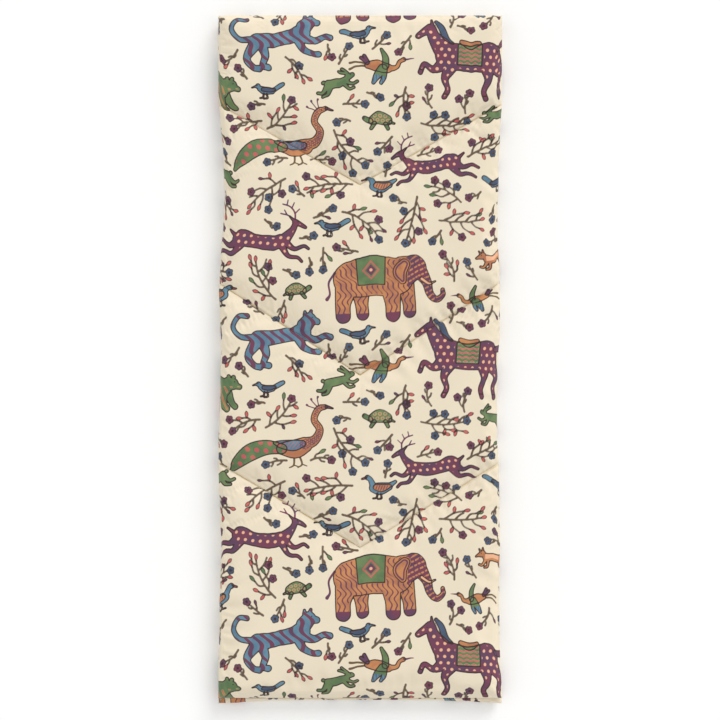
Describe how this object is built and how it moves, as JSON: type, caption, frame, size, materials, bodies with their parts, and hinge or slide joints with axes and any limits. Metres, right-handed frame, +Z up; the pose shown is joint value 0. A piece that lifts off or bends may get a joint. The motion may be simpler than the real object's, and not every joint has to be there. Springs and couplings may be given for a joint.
{
  "type": "rectangular sleeping bag",
  "caption": "Rectangular sleeping bag of two quilts with V-shaped quilting lines, folded along one side and closed by a two-way zip along the other side and the foot.",
  "frame": {"origin": "centre of the bag's outline at ground level, under the closed bag lying on its back", "axes": "+Y towards the mouth at the head end, +X towards the zipped side, +Z up through the two quilts"},
  "size_m": [0.7832, 1.8996, 0.064],
  "materials": {
    "shell_fabric": "matt printed plain weave",
    "lining_fabric": "matt brushed plain weave",
    "fill_fibre": "loose fibre batting",
    "quilting_thread": "spun polyester thread",
    "zip_tape": "herringbone woven tape",
    "zip_coil": "moulded teeth",
    "zip_metal": "antique brass plate",
    "pull_ribbon": "folded grosgrain ribbon"
  },
  "bodies": {
    "bottom_quilt": {"bottom_shell": "shell_fabric", "bottom_lining": "lining_fabric", "bottom_fill_1": "fill_fibre", "bottom_fill_2": "fill_fibre", "bottom_fill_3": "fill_fibre", "bottom_fill_4": "fill_fibre", "bottom_stitch_1": "quilting_thread", "bottom_stitch_2": "quilting_thread", "bottom_stitch_3": "quilting_thread", "bottom_mouth_hem": "shell_fabric", "bottom_fold_panel": "shell_fabric", "bottom_side_zip_tape": "zip_tape", "bottom_foot_zip_tape": "zip_tape", "bottom_side_zip_coil": "zip_coil", "bottom_foot_zip_coil": "zip_coil", "bottom_zip_stop": "zip_metal", "zip_retainer_box": "zip_metal"},
    "top_quilt": {"top_shell": "shell_fabric", "top_lining": "lining_fabric", "top_fill_1": "fill_fibre", "top_fill_2": "fill_fibre", "top_fill_3": "fill_fibre", "top_fill_4": "fill_fibre", "top_stitch_1": "quilting_thread", "top_stitch_2": "quilting_thread", "top_stitch_3": "quilting_thread", "top_mouth_hem": "shell_fabric", "top_fold_panel": "shell_fabric", "top_side_zip_tape": "zip_tape", "top_foot_zip_tape": "zip_tape", "top_side_zip_coil": "zip_coil", "top_foot_zip_coil": "zip_coil", "top_zip_stop": "zip_metal", "zip_insertion_pin": "zip_coil", "side_draft_tube": "lining_fabric", "foot_draft_tube": "lining_fabric"},
    "side_slider": {"side_slider_body": "zip_metal"},
    "side_puller": {"side_pull_tab": "zip_metal", "side_pull_ribbon": "pull_ribbon"},
    "foot_slider": {"foot_slider_body": "zip_metal"},
    "foot_puller": {"foot_pull_tab": "zip_metal", "foot_pull_ribbon": "pull_ribbon"}
  },
  "joints": [
    {"name": "top_quilt_open", "type": "hinge", "parent": "bottom_quilt", "child": "top_quilt", "pos_m": [-0.392, 0, 0.032], "axis": [0, -1, 0], "range_deg": [0, 180]},
    {"name": "side_slider_slide", "type": "slide", "parent": "bottom_quilt", "child": "side_slider", "axis": [0, -1, 0], "range_m": [0, 1.73]},
    {"name": "side_puller_swing", "type": "hinge", "parent": "side_slider", "child": "side_puller", "pos_m": [0.3881, 0.916, 0.032], "axis": [0, 0, 1], "range_deg": [0, 170]},
    {"name": "foot_slider_slide", "type": "slide", "parent": "bottom_quilt", "child": "foot_slider", "axis": [1, 0, 0], "range_m": [0, 0.65]},
    {"name": "foot_puller_swing", "type": "hinge", "parent": "foot_slider", "child": "foot_puller", "pos_m": [-0.346, -0.9281, 0.032], "axis": [0, 0, -1], "range_deg": [0, 145]}
  ]
}
